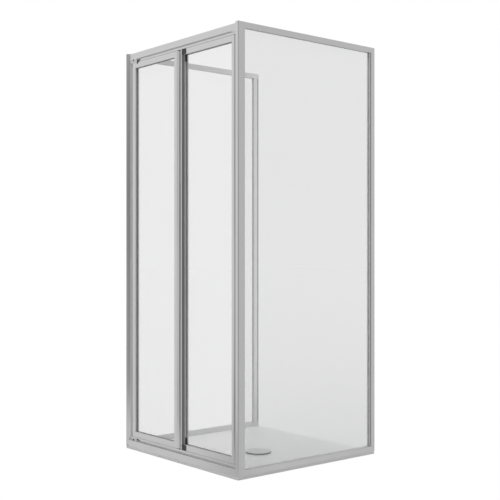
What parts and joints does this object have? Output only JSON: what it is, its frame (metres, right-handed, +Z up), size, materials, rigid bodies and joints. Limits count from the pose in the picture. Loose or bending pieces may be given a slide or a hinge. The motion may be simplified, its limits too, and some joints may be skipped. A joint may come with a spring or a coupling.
{
  "type": "three-sided shower enclosure",
  "caption": "Framed glass shower enclosure open to the wall: fixed side panels, an inward-folding front door on pivots and track guides, and a low tray with a lift-out drain cover.",
  "frame": {"origin": "centre of the tray's underside, on the floor", "axes": "+X along the door from its pivot side to its closing side, +Y from the door to the wall, +Z up"},
  "size_m": [0.85, 0.8, 1.862],
  "materials": {
    "silver_aluminium": "satin silver anodised",
    "panel_glass": "clear",
    "leaf_glass": "clear",
    "grey_gasket": "matt",
    "dark_gasket": "matt",
    "grip_rubber": "ribbed, matt",
    "black_plastic": "matt",
    "steel": "bright",
    "white_tray": "gloss white acrylic",
    "drain_metal": "satin"
  },
  "bodies": {
    "enclosure": {"shower_tray": "white_tray", "waste_flange": "drain_metal", "left_front_post": "silver_aluminium", "left_rear_stile": "silver_aluminium", "left_top_rail": "silver_aluminium", "left_bottom_rail": "silver_aluminium", "left_wall_profile": "silver_aluminium", "right_front_post": "silver_aluminium", "right_rear_stile": "silver_aluminium", "right_top_rail": "silver_aluminium", "right_bottom_rail": "silver_aluminium", "right_wall_profile": "silver_aluminium", "top_track": "silver_aluminium", "bottom_track": "silver_aluminium", "hinge_jamb": "silver_aluminium", "strike_jamb": "silver_aluminium", "left_post_cap": "black_plastic", "left_glass": "panel_glass", "left_glass_gasket": "grey_gasket", "left_wall_seal": "dark_gasket", "right_post_cap": "black_plastic", "right_glass": "panel_glass", "right_glass_gasket": "grey_gasket", "right_wall_seal": "dark_gasket", "top_track_seal": "dark_gasket", "bottom_track_seal": "dark_gasket", "hinge_seal": "dark_gasket", "strike_seal": "dark_gasket", "hinge_jamb_screws": "steel", "strike_jamb_screws": "steel", "pivot_bush_top": "black_plastic", "pivot_bush_bottom": "black_plastic"},
    "drain_cover": {"drain_cover": "drain_metal"},
    "leaf_a": {"leaf_a_pivot_stile": "silver_aluminium", "leaf_a_hinge_stile": "silver_aluminium", "leaf_a_top_rail": "silver_aluminium", "leaf_a_bottom_rail": "silver_aluminium", "centre_hinge_leaf_a": "silver_aluminium", "leaf_a_glass": "leaf_glass", "leaf_a_gasket": "dark_gasket", "pivot_pin_top": "steel", "pivot_pin_bottom": "steel", "centre_hinge_pin": "steel"},
    "leaf_b": {"leaf_b_pull_stile": "silver_aluminium", "leaf_b_closing_stile": "silver_aluminium", "leaf_b_top_rail": "silver_aluminium", "leaf_b_bottom_rail": "silver_aluminium", "centre_hinge_leaf_b": "silver_aluminium", "leaf_b_glass": "leaf_glass", "leaf_b_gasket": "dark_gasket", "grip_insert": "grip_rubber", "grip_end_plugs": "black_plastic", "guide_pin_top": "steel", "guide_pin_bottom": "steel"},
    "guide_shoes": {"guide_shoe_top": "black_plastic", "guide_shoe_bottom": "black_plastic"}
  },
  "joints": [
    {"name": "leaf_a_pivot", "type": "hinge", "parent": "enclosure", "child": "leaf_a", "pos_m": [-0.387, -0.378, 0.936], "axis": [0, 0, 1], "range_deg": [0, 80]},
    {"name": "centre_fold", "type": "hinge", "parent": "leaf_a", "child": "leaf_b", "pos_m": [-0.0035, -0.388, 0.936], "axis": [0, 0, 1], "range_deg": [-160, 0]},
    {"name": "guide_swivel", "type": "hinge", "parent": "leaf_b", "child": "guide_shoes", "pos_m": [0.38, -0.378, 0.936], "axis": [0, 0, 1], "range_deg": [0, 80]},
    {"name": "drain_cover_lift", "type": "slide", "parent": "enclosure", "child": "drain_cover", "axis": [0, 0, 1], "range_m": [0, 0.03]}
  ],
  "couplings": [
    {"joint": "centre_fold", "follows": "leaf_a_pivot", "ratio": -2},
    {"joint": "guide_swivel", "follows": "leaf_a_pivot", "ratio": 1}
  ]
}
